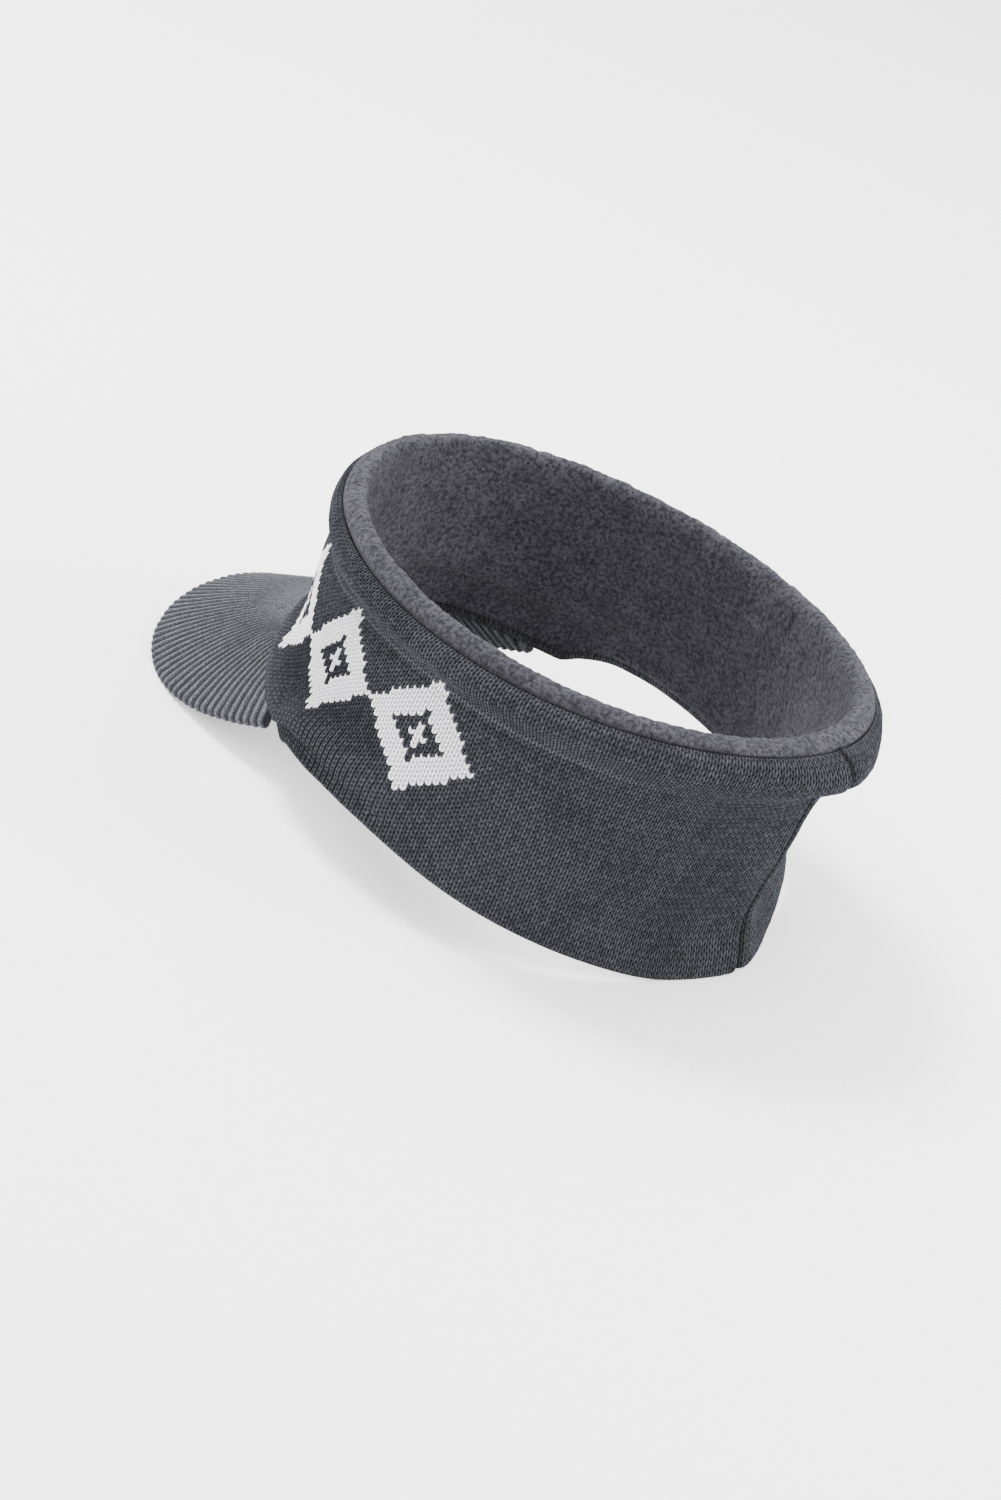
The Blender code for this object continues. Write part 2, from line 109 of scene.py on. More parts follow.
# The band's surface, worked out for whole arrays of points at once.
def curve(table, where, column, value):
    at = np.asarray(table[where], float)
    high = np.asarray(table[column], float)
    slope = np.zeros(len(at))
    slope[1:-1] = (high[2:] - high[:-2]) / (at[2:] - at[:-2])
    slope[1:-1][(high[1:-1] - high[:-2]) * (high[2:] - high[1:-1]) <= 0] = 0
    row = np.clip(np.searchsorted(at, value) - 1, 0, len(at) - 2)
    step = at[row + 1] - at[row]
    t = np.clip((value - at[row]) / step, 0.0, 1.0)
    return ((2 * t**3 - 3 * t**2 + 1) * high[row] + (t**3 - 2 * t**2 + t) * step * slope[row]
            + (3 * t**2 - 2 * t**3) * high[row + 1] + (t**3 - t**2) * step * slope[row + 1])


def roundShare(name, side):
    return curve(roundForms, "angle", name, side)


def faceShare(name, up):
    return curve(faceForms, "up", name, up)


def hump(value, middle, spread):
    return np.exp(-(((value - middle) / spread) ** 2))


def between01(value, low, high):
    t = np.clip((value - low) / (high - low), 0.0, 1.0)
    return t * t * (3 - 2 * t)


def fromFront(angle):
    turned = np.mod(angle, 360.0)
    return np.minimum(turned, 360.0 - turned)


def seamHeight(angle):
    turn = np.radians(angle)
    middle = (band["frontHeight"] + band["backHeight"]) / 2
    slope = (band["backHeight"] - band["frontHeight"]) / 2
    return middle - slope * np.cos(turn) - band["sideSag"] * np.sin(turn) ** 2


def hemHeight(angle):
    side = fromFront(angle)
    dip = band["hemDip"] * curve(hemDips, "angle", "dip", side)
    return -dip - band["napeDip"] * hump(side, band["napeAt"], band["napeSpread"])


def oval(length, width, back, squareness, angle):
    turn = np.radians(angle)
    across = np.sign(np.sin(turn)) * np.abs(np.sin(turn)) ** (2 / squareness)
    along = np.sign(np.cos(turn)) * np.abs(np.cos(turn)) ** (2 / squareness)
    return width / 2 * across, back - length / 2 - length / 2 * along


def plainWall(angle, up):
    angle, up = np.broadcast_arrays(angle, up)
    lowX, lowY = oval(band["hemLength"], band["hemWidth"], band["hemBack"],
                      band["hemSquareness"], angle)
    highX, highY = oval(band["seamLength"], band["seamWidth"], band["seamBack"], 2, angle)
    top = seamHeight(angle)
    height = hemHeight(angle) * (1 - up) + top * up
    share = height / top
    return np.stack([lowX * (1 - share) + highX * share,
                     lowY * (1 - share) + highY * share, height], axis=-1)


def outwards(angle, up):
    along = plainWall(angle + 1.0, up) - plainWall(angle - 1.0, up)
    out = np.stack([along[..., 1], -along[..., 0], np.zeros(along.shape[:-1])], axis=-1)
    return out / np.linalg.norm(out, axis=-1, keepdims=True)


def tucked(angle):
    return between01(fromFront(angle), band["tuckEnd"], band["tuckStart"])


def relief(angle, up):
    side = fromFront(angle)
    backRoll = (band["backRoll"] - band["roll"]) * roundShare("backRoll", side)
    roll = band["roll"] * roundShare("roll", side) + backRoll
    dent = hump(np.mod(angle, 360.0), band["dentAt"], band["dentSpread"])
    groove = hump(side, 180, band["grooveSpread"])
    groove = groove * np.where(up < band["grooveTop"], 1.0, band["grooveTopShare"])
    puffed = band["swell"] * faceShare("swell", up) - band["valley"] * faceShare("valley", up)
    return (roll * faceShare("roll", up)
            - band["crease"] * roundShare("crease", side) * faceShare("crease", up)
            - band["nape"] * roundShare("nape", side) * faceShare("nape", up)
            - band["draw"] * roundShare("draw", side) * faceShare("draw", up)
            + roundShare("swell", side) * puffed
            - band["tuck"] * tucked(angle) * faceShare("tuck", up)
            - band["dent"] * dent * faceShare("dent", up) - band["groove"] * groove)


def outerFace(angle, up, inset=0.0):
    angle, up = np.broadcast_arrays(np.asarray(angle, float), np.asarray(up, float))
    stand = np.asarray(relief(angle, up) - inset)
    point = plainWall(angle, up) + outwards(angle, up) * stand[..., None]
    point[..., 2] -= band["sag"] * tucked(angle) * faceShare("sag", up)
    return point


def faceDirections(angle, up):
    # out of the cloth, and up along it
    climb = (outerFace(angle, np.minimum(up + 0.01, 1.0))
             - outerFace(angle, np.maximum(up - 0.01, 0.0)))
    climb /= np.linalg.norm(climb, axis=-1, keepdims=True)
    out = outwards(angle, up)
    out = out - climb * np.sum(out * climb, axis=-1, keepdims=True)
    return out / np.linalg.norm(out, axis=-1, keepdims=True), climb


def underFace(angle, up, depth):
    return outerFace(angle, up) - faceDirections(angle, up)[0] * depth


# A bmesh grid is laid over rows and columns of points.
def gridNormals(points, ringed):
    if ringed:
        along = np.roll(points, -1, axis=0) - np.roll(points, 1, axis=0)
    else:
        along = np.gradient(points, axis=0)
    upward = np.roll(points, -1, axis=1) - np.roll(points, 1, axis=1)
    normal = np.cross(along, upward)
    return normal / np.maximum(np.linalg.norm(normal, axis=-1, keepdims=True), 1e-12)


def lumpy(points, layers):
    # layers: (size of a lump, seed, share)
    total = np.zeros(points.shape[:-1])
    for size, seed, share in layers:
        flat = points.reshape(-1, 3) / size + seed
        lumps = np.array([noise.noise(Vector(p)) for p in flat])
        total = total + share * lumps.reshape(total.shape)
    return total


def setDown(points):
    c, s = math.cos(rest["turn"]), math.sin(rest["turn"])
    laid = points.copy()
    laid[..., 1] = points[..., 1] * c + points[..., 2] * s
    laid[..., 2] = points[..., 2] * c - points[..., 1] * s
    laid += np.array(rest["shift"])
    laid[..., 2] = np.maximum(laid[..., 2], rest["lowest"])
    return laid


def layGrid(name, points, ringed, uvMaps, masks):
    # points is columns x rows x 3, and each column closes on itself
    columns, rows = points.shape[:2]
    wide = columns + (1 if ringed else 0)
    grid = bmesh.new()
    bmesh.ops.create_grid(grid, x_segments=wide - 1, y_segments=rows, size=1)
    mesh = bpy.data.meshes.new(name)
    grid.to_mesh(mesh)
    grid.free()
    flat = np.zeros(len(mesh.vertices) * 3)
    mesh.vertices.foreach_get("co", flat)
    flat = flat.reshape(-1, 3)
    column = np.rint((flat[:, 0] + 1) / 2 * (wide - 1)).astype(int)
    row = np.rint((flat[:, 1] + 1) / 2 * rows).astype(int)
    mesh.vertices.foreach_set("co", points[column % columns, row % rows].ravel())
    corner = np.zeros(len(mesh.loops), int)
    mesh.loops.foreach_get("vertex_index", corner)
    for uvName, (wale, course) in uvMaps.items():
        layer = mesh.uv_layers.new(name=uvName)
        pair = np.stack([wale[column[corner], row[corner]],
                         course[column[corner], row[corner]]], axis=-1)
        layer.data.foreach_set("uv", pair.ravel())
    for maskName, values in masks.items():
        layer = mesh.attributes.new(maskName, "FLOAT", "POINT")
        layer.data.foreach_set("value", values[column % columns, row % rows].ravel())
    shape = bmesh.new()
    shape.from_mesh(mesh)
    bmesh.ops.remove_doubles(shape, verts=shape.verts, dist=1e-6)
    if not ringed:
        bmesh.ops.holes_fill(shape, edges=shape.edges, sides=0)
    bmesh.ops.recalc_face_normals(shape, faces=shape.faces)
    shape.to_mesh(mesh)
    shape.free()
    mesh.shade_smooth()
    piece = bpy.data.objects.new(name, mesh)
    bpy.context.scene.collection.objects.link(piece)
    return piece


# Short ways to write shader nodes.
def maths(tree, operation, *values, clamp=False):
    node = tree.nodes.new("ShaderNodeMath")
    node.operation = operation
    node.use_clamp = clamp
    for index, value in enumerate(values):
        if hasattr(value, "is_output"):
            tree.links.new(value, node.inputs[index])
        else:
            node.inputs[index].default_value = value
    return node.outputs[0]


def blendColours(tree, amount, first, second):
    node = tree.nodes.new("ShaderNodeMix")
    node.data_type = "RGBA"
    sockets = (node.inputs[0], node.inputs[6], node.inputs[7])
    for socket, value in zip(sockets, (amount, first, second)):
        if hasattr(value, "is_output"):
            tree.links.new(value, socket)
        elif isinstance(value, tuple):
            socket.default_value = (*value, 1.0)
        else:
            socket.default_value = value
    return node.outputs[2]


def ramp(tree, value, low, high, fromLow, fromHigh):
    node = tree.nodes.new("ShaderNodeMapRange")
    node.interpolation_type = "SMOOTHSTEP"
    ends = {"From Min": fromLow, "From Max": fromHigh, "To Min": low, "To Max": high}
    for name, number in ends.items():
        node.inputs[name].default_value = number
    tree.links.new(value, node.inputs["Value"])
    return node.outputs["Result"]


def uvPair(tree, uvName):
    node = tree.nodes.new("ShaderNodeUVMap")
    node.uv_map = uvName
    split = tree.nodes.new("ShaderNodeSeparateXYZ")
    tree.links.new(node.outputs["UV"], split.inputs[0])
    return split.outputs["X"], split.outputs["Y"]


def attribute(tree, name):
    node = tree.nodes.new("ShaderNodeAttribute")
    node.attribute_type = "GEOMETRY"
    node.attribute_name = name
    return node.outputs["Fac"]


def newGroup(name, takes, gives):
    tree = bpy.data.node_groups.new(name, "ShaderNodeTree")
    for way, names in (("INPUT", takes), ("OUTPUT", gives)):
        for socketName in names:
            tree.interface.new_socket(socketName, in_out=way, socket_type="NodeSocketFloat")
    given = tree.nodes.new("NodeGroupInput").outputs
    return tree, given, tree.nodes.new("NodeGroupOutput").inputs


def placeGroup(tree, group, **given):
    node = tree.nodes.new("ShaderNodeGroup")
    node.node_tree = group
    for name, value in given.items():
        if hasattr(value, "is_output"):
            tree.links.new(value, node.inputs[name])
        else:
            node.inputs[name].default_value = value
    return node


def fleckField():
    # specks and patches of any size, in the object's own space
    tree, given, out = newGroup("fleckField", ("Scale", "Detail", "Roughness"), ("Fleck",))
    node = tree.nodes.new("ShaderNodeTexNoise")
    for name in ("Scale", "Detail", "Roughness"):
        tree.links.new(given[name], node.inputs[name])
    place = tree.nodes.new("ShaderNodeTexCoord").outputs["Object"]
    tree.links.new(place, node.inputs["Vector"])
    tree.links.new(node.outputs["Fac"], out["Fleck"])
    return tree


flecks = fleckField()


def speckle(tree, scale, detail, roughness=0.5):
    return placeGroup(tree, flecks, Scale=scale, Detail=detail, Roughness=roughness).outputs[0]


# one V stitch: its round legs, thinner at their ends, the holes beside them, and the painted shade
# on its low parts
stitchForm = {
    "crown": 0.6, "taper": 0.7, "thin": 0.38, "full": 0.62,
    "holeAside": (0.25, 0.95), "holeAlong": (0.25, 0.85), "holeDepth": 0.6,
    "lowYarnShade": (0.15, 0.75), "lowYarnShadeShare": 0.8,
}


def stitchHeights(wale, course, slant):
    # the same V stitches as the shader's, for the mesh
    aside = np.abs(np.mod(wale, 1.0) - 0.5) * 2
    off = np.abs(2 * aside - 1)
    along = np.sin(np.pi * np.mod(course - aside * slant, 1.0))
    body = stitchForm["thin"] + stitchForm["full"] * along ** stitchForm["taper"]
    height = np.maximum(1 - off**2, 0.0) ** stitchForm["crown"] * body
    hole = (between01(off, *stitchForm["holeAside"])
            * (1 - between01(along, *stitchForm["holeAlong"])))
    return height - stitchForm["holeDepth"] * hole


def stitchField():
    # V stitches on a grid of wales (across) and courses (up): height, painted shade for the
    # pits, a tone for each stitch, and which course it's in
    tree, given, out = newGroup("stitchField", ("Wale", "Course", "Slant"),
                                ("Height", "PitShade", "Tone", "Row"))
    part = maths(tree, "SUBTRACT", maths(tree, "FRACT", given["Wale"]), 0.5)
    aside = maths(tree, "MULTIPLY", maths(tree, "ABSOLUTE", part), 2.0)
    lean = maths(tree, "MULTIPLY", aside, given["Slant"])
    leg = maths(tree, "SUBTRACT", given["Course"], lean)
    along = maths(tree, "SINE", maths(tree, "MULTIPLY", maths(tree, "FRACT", leg), math.pi))
    off = maths(tree, "SUBTRACT", maths(tree, "MULTIPLY", aside, 2.0), 1.0)
    off = maths(tree, "ABSOLUTE", off)
    across = maths(tree, "SUBTRACT", 1.0, maths(tree, "MULTIPLY", off, off))
    crown = maths(tree, "POWER", maths(tree, "MAXIMUM", across, 0.0), stitchForm["crown"])
    body = maths(tree, "POWER", along, stitchForm["taper"])
    body = maths(tree, "MULTIPLY", body, stitchForm["full"])
    height = maths(tree, "MULTIPLY", crown, maths(tree, "ADD", body, stitchForm["thin"]))
    # each leg of a V has a tone of its own
    side = maths(tree, "MULTIPLY", maths(tree, "SIGN", part), 0.25)
    cell = tree.nodes.new("ShaderNodeCombineXYZ")
    tree.links.new(maths(tree, "ADD", maths(tree, "FLOOR", given["Wale"]), side), cell.inputs[0])
    tree.links.new(maths(tree, "FLOOR", leg), cell.inputs[1])
    dice = tree.nodes.new("ShaderNodeTexWhiteNoise")
    dice.noise_dimensions = "2D"
    tree.links.new(cell.outputs[0], dice.inputs["Vector"])
    # the holes at the foot of each V and between one V and the next
    hole = maths(tree, "MULTIPLY", ramp(tree, off, 0.0, 1.0, *stitchForm["holeAside"]),
                 ramp(tree, along, 1.0, 0.0, *stitchForm["holeAlong"]))
    # painted shade where the yarn lies low and in the holes; the holes are also sunk in the height
    lowYarnShade = ramp(tree, height, 1.0, 0.0, *stitchForm["lowYarnShade"])
    lowYarnShade = maths(tree, "MULTIPLY", lowYarnShade, stitchForm["lowYarnShadeShare"])
    sunk = maths(tree, "MULTIPLY", hole, stitchForm["holeDepth"])
    tree.links.new(maths(tree, "SUBTRACT", height, sunk), out["Height"])
    tree.links.new(maths(tree, "MAXIMUM", lowYarnShade, hole), out["PitShade"])
    tree.links.new(dice.outputs["Value"], out["Tone"])
    tree.links.new(maths(tree, "ADD", maths(tree, "FLOOR", leg), 0.75), out["Row"])
    return tree


stitches = stitchField()

# lozenges measured in stitches: wales across and courses up
motif = {"pitch": 19.0, "halfWidth": 9.4, "middle": 21.75, "halfHeight": 11.4,
         "hollow": 0.44, "heart": 0.18, "perSide": 4}


def lozengeField(wales):
    # a row of hollow lozenges, stepped stitch by stitch as a two-colour knit is
    tree, given, out = newGroup("lozengeField", ("Wale", "Row"), ("Mask",))
    step = motif["pitch"]
    stitch = maths(tree, "ADD", maths(tree, "FLOOR", given["Wale"]), 0.5)
    wrapped = maths(tree, "PINGPONG", stitch, wales / 2)          # wales from the middle front
    inCell = maths(tree, "SUBTRACT", maths(tree, "MODULO", wrapped, step), step / 2)
    across = maths(tree, "DIVIDE", maths(tree, "ABSOLUTE", inCell), motif["halfWidth"])
    upward = maths(tree, "ABSOLUTE", maths(tree, "SUBTRACT", given["Row"], motif["middle"]))
    upward = maths(tree, "DIVIDE", upward, motif["halfHeight"])
    far = maths(tree, "ADD", across, upward)
    near = maths(tree, "LESS_THAN", far, 1.0)
    hollow = maths(tree, "LESS_THAN", far, motif["hollow"])
    heart = maths(tree, "LESS_THAN", far, motif["heart"])
    shown = maths(tree, "LESS_THAN", wrapped, step * motif["perSide"])
    mask = maths(tree, "ADD", maths(tree, "SUBTRACT", near, hollow), heart)
    tree.links.new(maths(tree, "MULTIPLY", mask, shown), out["Mask"])
    return tree


# what the three cloths share; a noise is its scale, detail and roughness
cloth = {
    "sheenRoughness": 0.55, "sheenTint": (0.86, 0.88, 0.94), "specular": 0.04,
    "heather": (1500.0, 3.0, 0.6),
}


def clothMaterial(name, roughness, sheen):
    made = bpy.data.materials.new(name)
    made.use_nodes = True
    tree = made.node_tree
    shader = tree.nodes["Principled BSDF"]
    shader.inputs["Roughness"].default_value = roughness
    shader.inputs["Sheen Weight"].default_value = sheen
    shader.inputs["Sheen Roughness"].default_value = cloth["sheenRoughness"]
    shader.inputs["Sheen Tint"].default_value = (*cloth["sheenTint"], 1.0)
    shader.inputs["Specular IOR Level"].default_value = cloth["specular"]
    return made, tree, shader


def addBump(tree, shader, heights):
    # heights: (value, distance) from coarse to fine
    last = None
    for value, distance in heights:
        bump = tree.nodes.new("ShaderNodeBump")
        bump.inputs["Strength"].default_value = 1.0
        bump.inputs["Distance"].default_value = distance
        tree.links.new(value, bump.inputs["Height"])
        if last:
            tree.links.new(last, bump.inputs["Normal"])
        last = bump.outputs["Normal"]
    tree.links.new(last, shader.inputs["Normal"])


# The knitted band, in two colours of yarn. A tone is a ramp: to low and high, from low and high.
knit = {
    "yarn": (0.015, 0.016, 0.019), "paleYarn": (0.059, 0.061, 0.071),
    "pitShadeColour": (0.001, 0.001, 0.001), "pitShadeShare": 0.9, "jointShadeShare": 0.75,
    "white": (0.86, 0.86, 0.89), "whitePitShade": (0.40, 0.40, 0.45), "whitePitShadeShare": 0.8,
    "wobble": 0.35, "wobbleNoise": (260.0, 1.0), "patches": (45.0, 2.0),
    "stitchTone": 0.45, "foldHighlightTone": 1.1, "puffTone": 0.45,
    "patchTone": (0.06, 0.20, 0.35, 0.65), "heatherTone": (-0.25, 0.4, 0.3, 0.7),
    "gapShadeTone": (0.0, 0.9, 0.35, 0.90),
    "depth": 0.00100, "heatherDepth": 0.00012, "roughness": 0.92, "sheen": 0.03,
}


def makeBand():
    columns = band["wales"] * band["perWale"]
    last = band["courses"] * band["perCourse"]
    angles = (np.arange(columns) * 360.0 / columns)[:, None]
    side = fromFront(angles)

    # the rows are at even steps along the cloth
    fine = np.linspace(0.0, 1.0, band["measureSteps"])
    steps = np.linalg.norm(np.diff(outerFace(angles, fine[None, :]), axis=1), axis=-1)
    gone = np.concatenate([np.zeros((columns, 1)), np.cumsum(steps, axis=1)], axis=1)
    gone /= gone[:, -1:]
    share = np.linspace(0.0, 1.0, last + 1)[1:]
    ups = np.stack([np.interp(share, walked, fine) for walked in gone])
    outer = outerFace(angles, ups)

    # stitches stand proud, the cloth is never quite even, and the crease has a thin fold
    wale = np.arange(columns)[:, None] / band["perWale"]
    course = (share * band["courses"])[None, :]
    proud = stitchHeights(wale, course, band["slant"]) - band["stitchMiddle"]
    fold = hump(ups, band["creaseFoldUp"], band["creaseFoldSpread"]) * roundShare("crease", side)
    # the back seam's left edge lies folded over its right one
    overlap = hump(angles, band["seamFoldAt"], band["seamFoldSpread"])
    # the swell over the peak's root shows the gaps between its wales
    ribby = (1 - between01(side, *band["ribTurns"])) * (1 - between01(ups, *band["ribUps"]))
    gaps = np.abs(2 * np.mod(wale, 1.0) - 1) ** 2
    stand = (band["stitchRelief"] * proud + band["lumps"] * lumpy(outer, band["lumpLayers"])
             + band["creaseFold"] * fold + band["seamFold"] * overlap
             - band["ribGap"] * ribby * gaps)
    # all of it dies away at both edges, and in the tuck where the peak's root is sewn in
    fade = between01(share, *band["hemFade"]) * (1 - between01(share, *band["topFade"]))
    fade = fade[None, :] * (1 - tucked(angles) * (1 - between01(ups, *band["tuckFade"])))
    outer = outer + faceDirections(angles, ups)[0] * (stand * fade)[..., None]

    hem = [outerFace(angles, np.zeros((1, 1)), band["wall"] * deep) - np.array([0, 0, drop])
           for deep, drop in band["hemRound"]]
    inner = underFace(angles, np.array(band["innerRows"])[None, :], band["wall"])
    points = np.concatenate([hem[0], outer, inner, hem[1]], axis=1)
    rows = points.shape[1]

    cells = (columns + 1, rows + 1)
    waleAt = np.broadcast_to(np.arange(columns + 1)[:, None] / band["perWale"], cells)
    inside = np.array(band["innerCourses"]) + band["courses"]
    courseAt = np.concatenate([[0.0], share * band["courses"], inside])[None, :]
    courseAt = np.broadcast_to(courseAt, cells)

    def onFace(values):
        mask = np.zeros((columns, rows))
        mask[:, 1:last + 1] = values
        return mask

    # painted shade along the back seam's groove and along the top, under the fleece lip
    jointShade = (hump(side, 180, band["grooveSpread"])
            + band["joinShade"] * hump(share, 1, band["joinSpread"]))
    # the swell's top catches the light and the valley above it is in shade
    puff = band["puffTop"] * faceShare("swell", ups) - faceShare("valley", ups)
    puff = roundShare("swell", side) * puff
    masks = {"fold": onFace(fold), "jointShade": onFace(jointShade), "ribs": onFace(ribby),
             "puff": onFace(puff)}
    piece = layGrid("knitted_band", setDown(points), True, {"stitch": (waleAt, courseAt)}, masks)
    piece.data.materials.append(bandMaterial())
    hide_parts("knit_band")
    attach(piece, "root")


def bandMaterial():
    made, tree, shader = clothMaterial("slateKnit", knit["roughness"], knit["sheen"])
    wale, course = uvPair(tree, "stitch")
    wobble = maths(tree, "SUBTRACT", speckle(tree, *knit["wobbleNoise"]), 0.5)
    uneven = maths(tree, "ADD", course, maths(tree, "MULTIPLY", wobble, knit["wobble"]))
    field = placeGroup(tree, stitches, Wale=wale, Course=uneven, Slant=band["slant"])
    marks = placeGroup(tree, lozengeField(band["wales"]), Wale=wale, Row=field.outputs["Row"])
    heather = speckle(tree, *cloth["heather"])
    tone = maths(tree, "MULTIPLY", field.outputs["Tone"], knit["stitchTone"])
    patchy = ramp(tree, speckle(tree, *knit["patches"]), *knit["patchTone"])
    tone = maths(tree, "ADD", tone, patchy)
    # painted highlight along the crease's fold, and painted light on the swell's top with painted
    # shade in the valley above it
    for mask, share in (("fold", knit["foldHighlightTone"]), ("puff", knit["puffTone"])):
        lightAndShade = maths(tree, "MULTIPLY", attribute(tree, mask), share)
        tone = maths(tree, "ADD", tone, lightAndShade)
    tone = maths(tree, "ADD", tone, ramp(tree, heather, *knit["heatherTone"]), clamp=True)
    yarn = blendColours(tree, tone, knit["yarn"], knit["paleYarn"])
    # painted shade between the wales on the swell, in the pits, and along both joins
    aside = maths(tree, "SUBTRACT", maths(tree, "FRACT", wale), 0.5)
    aside = maths(tree, "MULTIPLY", maths(tree, "ABSOLUTE", aside), 2.0)
    gap = maths(tree, "MULTIPLY", ramp(tree, aside, *knit["gapShadeTone"]), attribute(tree, "ribs"))
    pitShading = maths(tree, "MULTIPLY", field.outputs["PitShade"], knit["pitShadeShare"])
    yarn = blendColours(tree, maths(tree, "MAXIMUM", pitShading, gap), yarn, knit["pitShadeColour"])
    jointShaded = maths(tree, "MULTIPLY", attribute(tree, "jointShade"), knit["jointShadeShare"], clamp=True)
    yarn = blendColours(tree, jointShaded, yarn, knit["pitShadeColour"])
    pitShading = maths(tree, "MULTIPLY", field.outputs["PitShade"], knit["whitePitShadeShare"])
    white = blendColours(tree, pitShading, knit["white"], knit["whitePitShade"])
    colour = blendColours(tree, marks.outputs["Mask"], yarn, white)
    tree.links.new(colour, shader.inputs["Base Color"])
    addBump(tree, shader, [(field.outputs["Height"], knit["depth"]),
                           (heather, knit["heatherDepth"])])
    return made


makeBand()
print("band made")

# The fleece lining, which rolls out over the band's top edge as a soft lip.
fleece = {
    "wall": 0.0025, "lipRise": 0.0060, "lipWidth": 0.0084,
    "foot": 0.07, "lowest": 0.10, "faceRows": 62, "lipRows": 17,
    "cornerRound": 0.0012,           # where the band's wall meets the line of the head
    "tipLift": 1.5,                  # in clearances, over the band's top edge
    "flat": (0.555, 0.098),          # the lining's cut, round and up, with the part that rolls out
    "colour": (0.020, 0.019, 0.024), "pale": (0.052, 0.050, 0.060), "shade": (0.006, 0.006, 0.008),
    "curls": 0.00042, "curlLayers": ((0.0024, 1.7, 1.0), (0.0011, 5.9, 0.6), (0.009, 2.2, 0.8)),
    "curlNoise": (680.0, 3.0, 0.62), "hairNoise": (2200.0, 2.0, 0.7), "patches": (90.0, 2.0),
    "curlTone": (-0.1, 0.75, 0.36, 0.66), "hairTone": (-0.3, 0.35, 0.3, 0.7),
    "patchTone": (-0.15, 0.2, 0.3, 0.7), "hollowShadeTone": (0.6, 0.0, 0.30, 0.50),
    "seamLineShade": (0.10, 0.55, 0.55), "curlDepth": 0.0009, "hairDepth": 0.0004,
    "roughness": 0.97, "sheen": 0.07,
}
liningDepths = {
    "up": (0.10, 0.30, 0.50, 0.70, 0.84, 0.93, 1.0),
    "in": (0.68, 0.76, 0.86, 0.97, 1.02, 1.02, 1.0),
}
lipForm = {
    "step": (0, 1, 2, 3, 4, 5),
    "in": (0.99, 0.86, 0.62, 0.36, 0.14, 0.03),
    "rise": (0.30, 0.78, 1.0, 0.94, 0.66, 0.30),
}


def makeLining():
    columns = band["wales"] * band["perWale"]        # as many as the band's, so the two stay apart
    angles = (np.arange(columns) * 360.0 / columns)[:, None]
    top = np.ones((1, 1))
    gap = band["wall"] + band["clearance"]
    thick = gap + fleece["wall"]

    # the inside lies on the band's wall or on the line of the head, whichever is further in
    ups = np.linspace(fleece["lowest"], 1.0, fleece["faceRows"])[None, :]
    way = outwards(angles, ups)
    deep = fleece["lipWidth"] * curve(liningDepths, "up", "in", ups)
    onHead = plainWall(angles, ups) - way * deep[..., None]
    ahead = np.sum((outerFace(angles, ups, thick) - onHead) * way, axis=-1)
    drop = (ahead - np.sqrt(ahead**2 + fleece["cornerRound"] ** 2)) / 2
    worn = onHead + way * drop[..., None]

    steps = np.linspace(0.0, lipForm["step"][-1], fleece["lipRows"])[None, :]
    inward = fleece["lipWidth"] * curve(lipForm, "step", "in", steps)
    lip = plainWall(angles, top) - outwards(angles, top) * inward[..., None]
    high = fleece["lipRise"] * roundShare("lip", fromFront(angles))
    lip[..., 2] += high * curve(lipForm, "step", "rise", steps)

    # it turns over the band's top edge and goes down again behind the band's wall
    climb = faceDirections(angles, top)[1] * band["clearance"] * fleece["tipLift"]
    tip = np.concatenate([outerFace(angles, top) + climb,
                          underFace(angles, top, gap) + climb], axis=1)
    hidden = underFace(angles, np.array(band["innerRows"][1:])[None, :], gap)
    foot = outerFace(angles, np.full((1, 1), fleece["foot"]), thick)
    points = np.concatenate([foot, worn, lip, tip, hidden], axis=1)
    rows = points.shape[1]

    seamRow = worn.shape[1] + lip.shape[1]           # the lip's last row, at the stitched seam
    shown = np.zeros((columns, rows))
    shown[:, 2:seamRow - 1] = 1.0
    shown[:, seamRow - 1] = 0.5
    normal = gridNormals(points, True)
    inwards = np.sign(np.sum(normal[:, 5] * way[:, 5], axis=-1)).mean()
    curls = shown * fleece["curls"] * lumpy(points, fleece["curlLayers"])
    points = points - inwards * normal * curls[..., None]

    cells = (columns + 1, rows + 1)
    waleAt = np.broadcast_to(np.arange(columns + 1)[:, None] * 1.0, cells)
    courseAt = np.broadcast_to(np.arange(rows + 1)[None, :] * 1.0, cells)
    # painted shade along the seam line under the lip
    seamLineShade = np.zeros((columns, rows))
    seamLineShade[:, seamRow:seamRow + 3] = fleece["seamLineShade"]
    piece = layGrid("fleece_lip_and_lining", setDown(points), True,
                    {"cloth": (waleAt, courseAt)}, {"seamLineShade": seamLineShade})
    piece.data.materials.append(fleeceMaterial())
    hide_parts("fleece_lining")
    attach(piece, "root")


def fleeceMaterial():
    made, tree, shader = clothMaterial("greyFleece", fleece["roughness"], fleece["sheen"])
    curls = speckle(tree, *fleece["curlNoise"])
    hair = speckle(tree, *fleece["hairNoise"])
    patchy = speckle(tree, *fleece["patches"])
    tone = maths(tree, "ADD", ramp(tree, curls, *fleece["curlTone"]),
                 ramp(tree, hair, *fleece["hairTone"]))
    tone = maths(tree, "ADD", tone, ramp(tree, patchy, *fleece["patchTone"]), clamp=True)
    colour = blendColours(tree, tone, fleece["colour"], fleece["pale"])
    # painted shade in the hollows between the curls and along the seam line under the lip
    deep = maths(tree, "MAXIMUM", ramp(tree, curls, *fleece["hollowShadeTone"]), attribute(tree, "seamLineShade"))
    colour = blendColours(tree, deep, colour, fleece["shade"])
    tree.links.new(colour, shader.inputs["Base Color"])
    addBump(tree, shader, [(curls, fleece["curlDepth"]), (hair, fleece["hairDepth"])])
    return made


makeLining()
print("fleece made")

